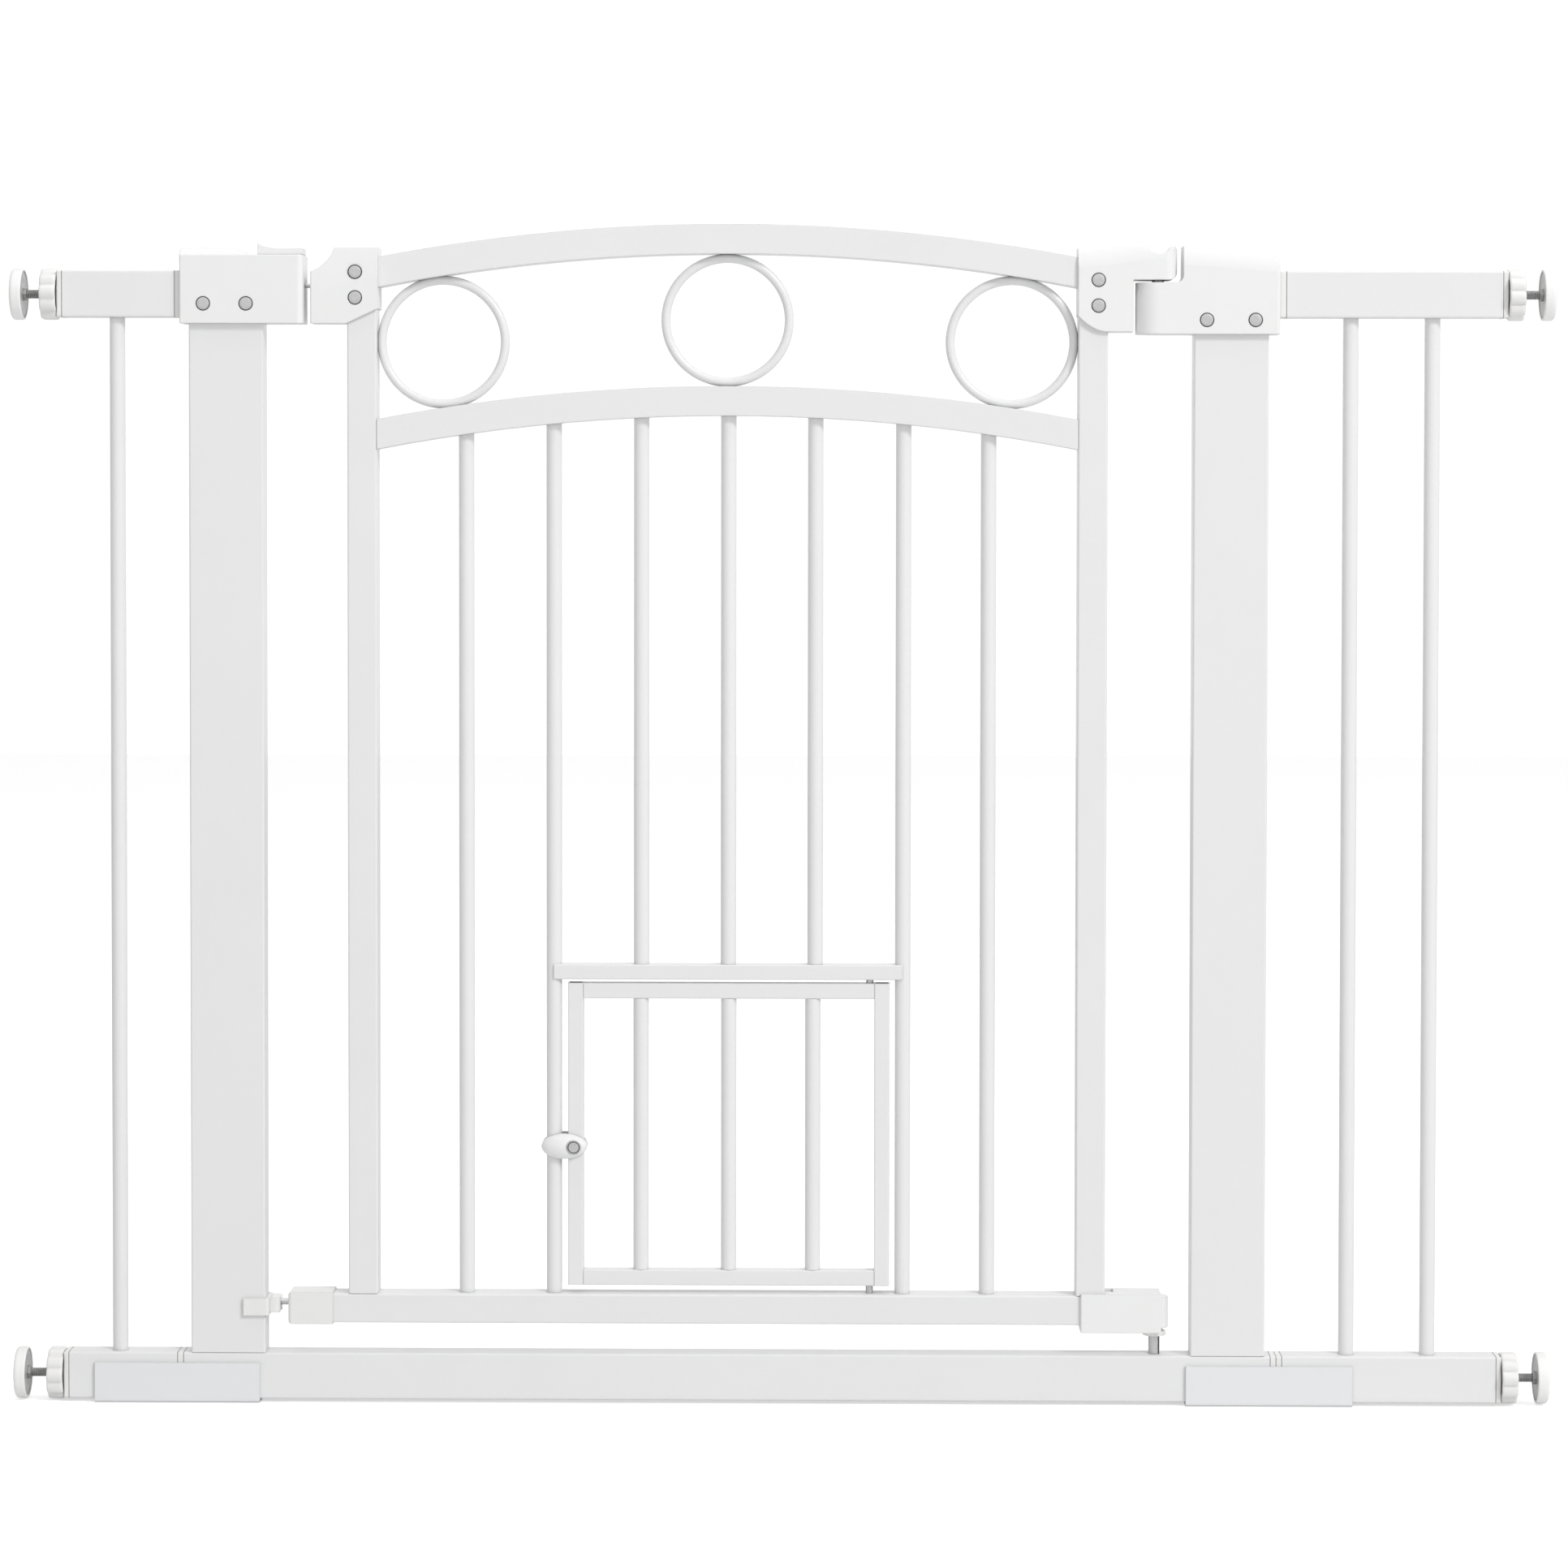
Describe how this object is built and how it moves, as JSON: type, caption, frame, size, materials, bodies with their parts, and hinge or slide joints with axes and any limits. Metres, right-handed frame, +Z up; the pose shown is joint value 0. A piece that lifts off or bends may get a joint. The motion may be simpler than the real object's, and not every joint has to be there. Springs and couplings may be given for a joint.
{
  "type": "pet gate",
  "caption": "Pressure-mounted white steel pet gate: arched swing leaf with ring trim and a small latched pet door, side extensions, screw-out wall pads.",
  "frame": {"origin": "middle of the footprint, on the floor", "axes": "+X along the opening towards the hinge side, +Y to the back, +Z up"},
  "size_m": [0.993, 0.034, 0.762],
  "materials": {
    "white_steel": "satin powder coat",
    "white_plastic": "fine moulded texture",
    "ivory_plastic": "fine moulded texture",
    "foot_plate_white": "satin powder coat",
    "rivet_grey": "satin",
    "zinc_steel": "zinc plated",
    "white_rubber": "soft, diagonal ribbing on the rim"
  },
  "bodies": {
    "frame": {"base_rail": "white_steel", "left_post": "white_steel", "right_post": "white_steel", "left_upper_tube": "white_steel", "left_lower_tube": "white_steel", "left_extension_bar": "white_steel", "right_upper_tube": "white_steel", "right_lower_tube": "white_steel", "right_extension_bars": "white_steel", "left_connectors": "ivory_plastic", "right_connectors": "ivory_plastic", "end_caps": "ivory_plastic", "left_foot_plate": "foot_plate_white", "right_foot_plate": "foot_plate_white", "latch_housing": "white_plastic", "latch_housing_rivets": "rivet_grey", "hinge_housing": "white_plastic", "hinge_housing_rivets": "rivet_grey", "lower_latch_clip": "ivory_plastic", "closing_spring": "zinc_steel", "lower_hinge_pin": "zinc_steel"},
    "hinge_pin": {"upper_hinge_pin": "zinc_steel"},
    "leaf": {"latch_stile": "white_steel", "hinge_stile": "white_steel", "bottom_rail": "white_steel", "upper_arch": "white_steel", "lower_arch": "white_steel", "leaf_bars": "white_steel", "rings": "white_steel", "pet_door_header": "white_steel", "latch_head": "white_plastic", "hinge_arm": "white_plastic", "leaf_rivets": "rivet_grey", "lower_hinge_block": "white_plastic", "lower_hinge_bushing": "ivory_plastic", "lower_latch_cap": "ivory_plastic", "lower_latch_pin": "zinc_steel"},
    "pet_door": {"pet_door_stiles": "white_steel", "pet_door_rails": "white_steel", "pet_door_bars": "white_steel", "pet_door_pins": "zinc_steel"},
    "turn_latch": {"turn_latch_front": "white_plastic", "turn_latch_rear": "white_plastic", "turn_latch_axle": "rivet_grey"},
    "slider": {"latch_slider": "white_plastic", "latch_bolt": "zinc_steel", "latch_spring": "zinc_steel"},
    "wheel_upper_left": {"hand_wheel_upper_left": "ivory_plastic"},
    "foot_upper_left": {"spindle_upper_left": "zinc_steel", "pad_upper_left": "white_rubber"},
    "wheel_lower_left": {"hand_wheel_lower_left": "ivory_plastic"},
    "foot_lower_left": {"spindle_lower_left": "zinc_steel", "pad_lower_left": "white_rubber"},
    "wheel_upper_right": {"hand_wheel_upper_right": "ivory_plastic"},
    "foot_upper_right": {"spindle_upper_right": "zinc_steel", "pad_upper_right": "white_rubber"},
    "wheel_lower_right": {"hand_wheel_lower_right": "ivory_plastic"},
    "foot_lower_right": {"spindle_lower_right": "zinc_steel", "pad_lower_right": "white_rubber"}
  },
  "joints": [
    {"name": "leaf_swing", "type": "hinge", "parent": "frame", "child": "hinge_pin", "pos_m": [0.2422, 0, 0.71], "axis": [0, 0, 1], "range_deg": [-90, 90], "stiffness_Nm_per_rad": 0.3, "deforming": ["closing_spring"]},
    {"name": "leaf_lift", "type": "slide", "parent": "hinge_pin", "child": "leaf", "axis": [0, 0, 1], "range_m": [0, 0.008]},
    {"name": "pet_door_swing", "type": "hinge", "parent": "leaf", "child": "pet_door", "pos_m": [0.0577, 0, 0.1743], "axis": [0, 0, 1], "range_deg": [-90, 90]},
    {"name": "turn_latch_turn", "type": "hinge", "parent": "pet_door", "child": "turn_latch", "pos_m": [-0.1335, 0, 0.1666], "axis": [0, 1, 0], "range_deg": [0, 90]},
    {"name": "bolt_slide", "type": "slide", "parent": "frame", "child": "slider", "axis": [1, 0, 0], "range_m": [-0.008, 0], "stiffness_N_per_m": 200, "deforming": ["latch_spring"]},
    {"name": "foot_upper_left_slide", "type": "slide", "parent": "frame", "child": "foot_upper_left", "axis": [-1, 0, 0], "range_m": [-0.008, 0.02]},
    {"name": "wheel_upper_left_turn", "type": "hinge", "parent": "frame", "child": "wheel_upper_left", "pos_m": [-0.47, 0, 0.717], "axis": [-1, 0, 0], "range_deg": [-2306, 5762]},
    {"name": "foot_lower_left_slide", "type": "slide", "parent": "frame", "child": "foot_lower_left", "axis": [-1, 0, 0], "range_m": [-0.008, 0.02]},
    {"name": "wheel_lower_left_turn", "type": "hinge", "parent": "frame", "child": "wheel_lower_left", "pos_m": [-0.47, 0, 0.0173], "axis": [-1, 0, 0], "range_deg": [-2306, 5762]},
    {"name": "foot_upper_right_slide", "type": "slide", "parent": "frame", "child": "foot_upper_right", "axis": [1, 0, 0], "range_m": [-0.008, 0.02]},
    {"name": "wheel_upper_right_turn", "type": "hinge", "parent": "frame", "child": "wheel_upper_right", "pos_m": [0.47, 0, 0.717], "axis": [1, 0, 0], "range_deg": [-2306, 5762]},
    {"name": "foot_lower_right_slide", "type": "slide", "parent": "frame", "child": "foot_lower_right", "axis": [1, 0, 0], "range_m": [-0.008, 0.02]},
    {"name": "wheel_lower_right_turn", "type": "hinge", "parent": "frame", "child": "wheel_lower_right", "pos_m": [0.47, 0, 0.0173], "axis": [1, 0, 0], "range_deg": [-2306, 5762]}
  ],
  "couplings": [
    {"joint": "wheel_upper_left_turn", "follows": "foot_upper_left_slide", "rad_per_m": 5026.5},
    {"joint": "wheel_lower_left_turn", "follows": "foot_lower_left_slide", "rad_per_m": 5026.5},
    {"joint": "wheel_upper_right_turn", "follows": "foot_upper_right_slide", "rad_per_m": 5026.5},
    {"joint": "wheel_lower_right_turn", "follows": "foot_lower_right_slide", "rad_per_m": 5026.5}
  ]
}
